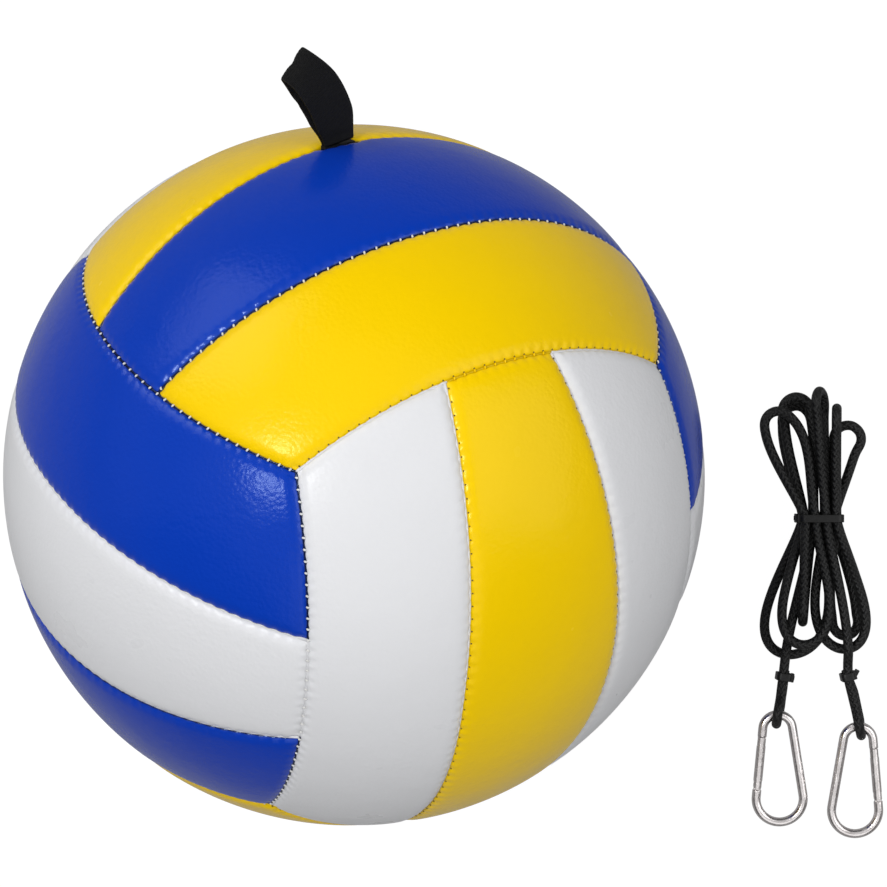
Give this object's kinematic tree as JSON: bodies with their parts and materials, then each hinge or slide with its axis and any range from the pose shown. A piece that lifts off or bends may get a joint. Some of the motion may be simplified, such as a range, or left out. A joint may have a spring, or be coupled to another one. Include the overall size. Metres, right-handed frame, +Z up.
{
  "type": "volleyball spike trainer",
  "caption": "Practice volleyball with a webbing loop sewn into a seam, and a tied hank of elastic cord with a pear-shaped snap hook on each end.",
  "frame": {"origin": "middle of the small flat on which the ball rests", "axes": "+Z up; +Y towards the end of the ball that carries the webbing loop; +X from the ball towards the hank of cord"},
  "size_m": [0.278, 0.2462, 0.2094],
  "materials": {
    "yellow_leather": "satin",
    "blue_leather": "satin",
    "white_leather": "satin",
    "carcass_cloth": "wound thread in latex",
    "bladder_rubber": "matt",
    "webbing": "diagonal weave",
    "elastic_cord": "braided cover over rubber strands",
    "tie_plastic": "matt",
    "zinc_steel": "bright zinc plate"
  },
  "bodies": {
    "ball": {"panel_top_side_a": "yellow_leather", "panel_top_middle": "blue_leather", "panel_top_side_b": "yellow_leather", "panel_bottom_side_a": "yellow_leather", "panel_bottom_middle": "blue_leather", "panel_bottom_side_b": "yellow_leather", "panel_right_side_a": "blue_leather", "panel_right_middle": "white_leather", "panel_right_side_b": "blue_leather", "panel_left_side_a": "blue_leather", "panel_left_middle": "white_leather", "panel_left_side_b": "blue_leather", "panel_back_side_a": "white_leather", "panel_back_middle": "yellow_leather", "panel_back_side_b": "white_leather", "panel_front_side_a": "white_leather", "panel_front_middle": "yellow_leather", "panel_front_side_b": "white_leather", "carcass": "carcass_cloth", "bladder": "bladder_rubber", "valve": "bladder_rubber", "strap_anchor": "webbing"},
    "strap": {"strap_loop": "webbing"},
    "cord_set": {"cord_hank": "elastic_cord", "cord_lead_left": "elastic_cord", "cord_lead_right": "elastic_cord", "tie_left": "tie_plastic", "tie_right": "tie_plastic", "hank_tie": "tie_plastic"},
    "hook_left": {"hook_left_body": "zinc_steel", "hook_left_hinge_pin": "zinc_steel"},
    "gate_left": {"hook_left_gate": "zinc_steel", "hook_left_latch_pin": "zinc_steel", "hook_left_gate_spring": "zinc_steel"},
    "hook_right": {"hook_right_body": "zinc_steel", "hook_right_hinge_pin": "zinc_steel"},
    "gate_right": {"hook_right_gate": "zinc_steel", "hook_right_latch_pin": "zinc_steel", "hook_right_gate_spring": "zinc_steel"}
  },
  "joints": [
    {"name": "strap_flop", "type": "hinge", "parent": "ball", "child": "strap", "pos_m": [-0.0038, 0.09713, 0.14648], "axis": [0.8438, 0.2396, -0.4802], "range_deg": [-35, 35], "stiffness_Nm_per_rad": 0.03},
    {"name": "cord_lift", "type": "slide", "parent": "ball", "child": "cord_set", "axis": [0, 0, 1], "range_m": [0, 0.25]},
    {"name": "hook_left_swing", "type": "hinge", "parent": "cord_set", "child": "hook_left", "pos_m": [0.1381, -0.0812, 0.0051], "axis": [-0.9992, -0.0401, 0], "range_deg": [0, 100]},
    {"name": "gate_left_open", "type": "hinge", "parent": "hook_left", "child": "gate_left", "pos_m": [0.13172, -0.10491, 0.00281], "axis": [-0.0039, 0.0972, -0.9953], "range_deg": [0, 24], "stiffness_Nm_per_rad": 0.01, "springref_deg": -8.59},
    {"name": "hook_right_swing", "type": "hinge", "parent": "cord_set", "child": "hook_right", "pos_m": [0.1654, -0.0851, 0.0051], "axis": [-0.9995, 0.0314, 0], "range_deg": [0, 100]},
    {"name": "gate_right_open", "type": "hinge", "parent": "hook_right", "child": "gate_right", "pos_m": [0.17199, -0.10875, 0.00281], "axis": [-0.0031, -0.0972, 0.9953], "range_deg": [0, 24], "stiffness_Nm_per_rad": 0.01, "springref_deg": -8.59}
  ]
}
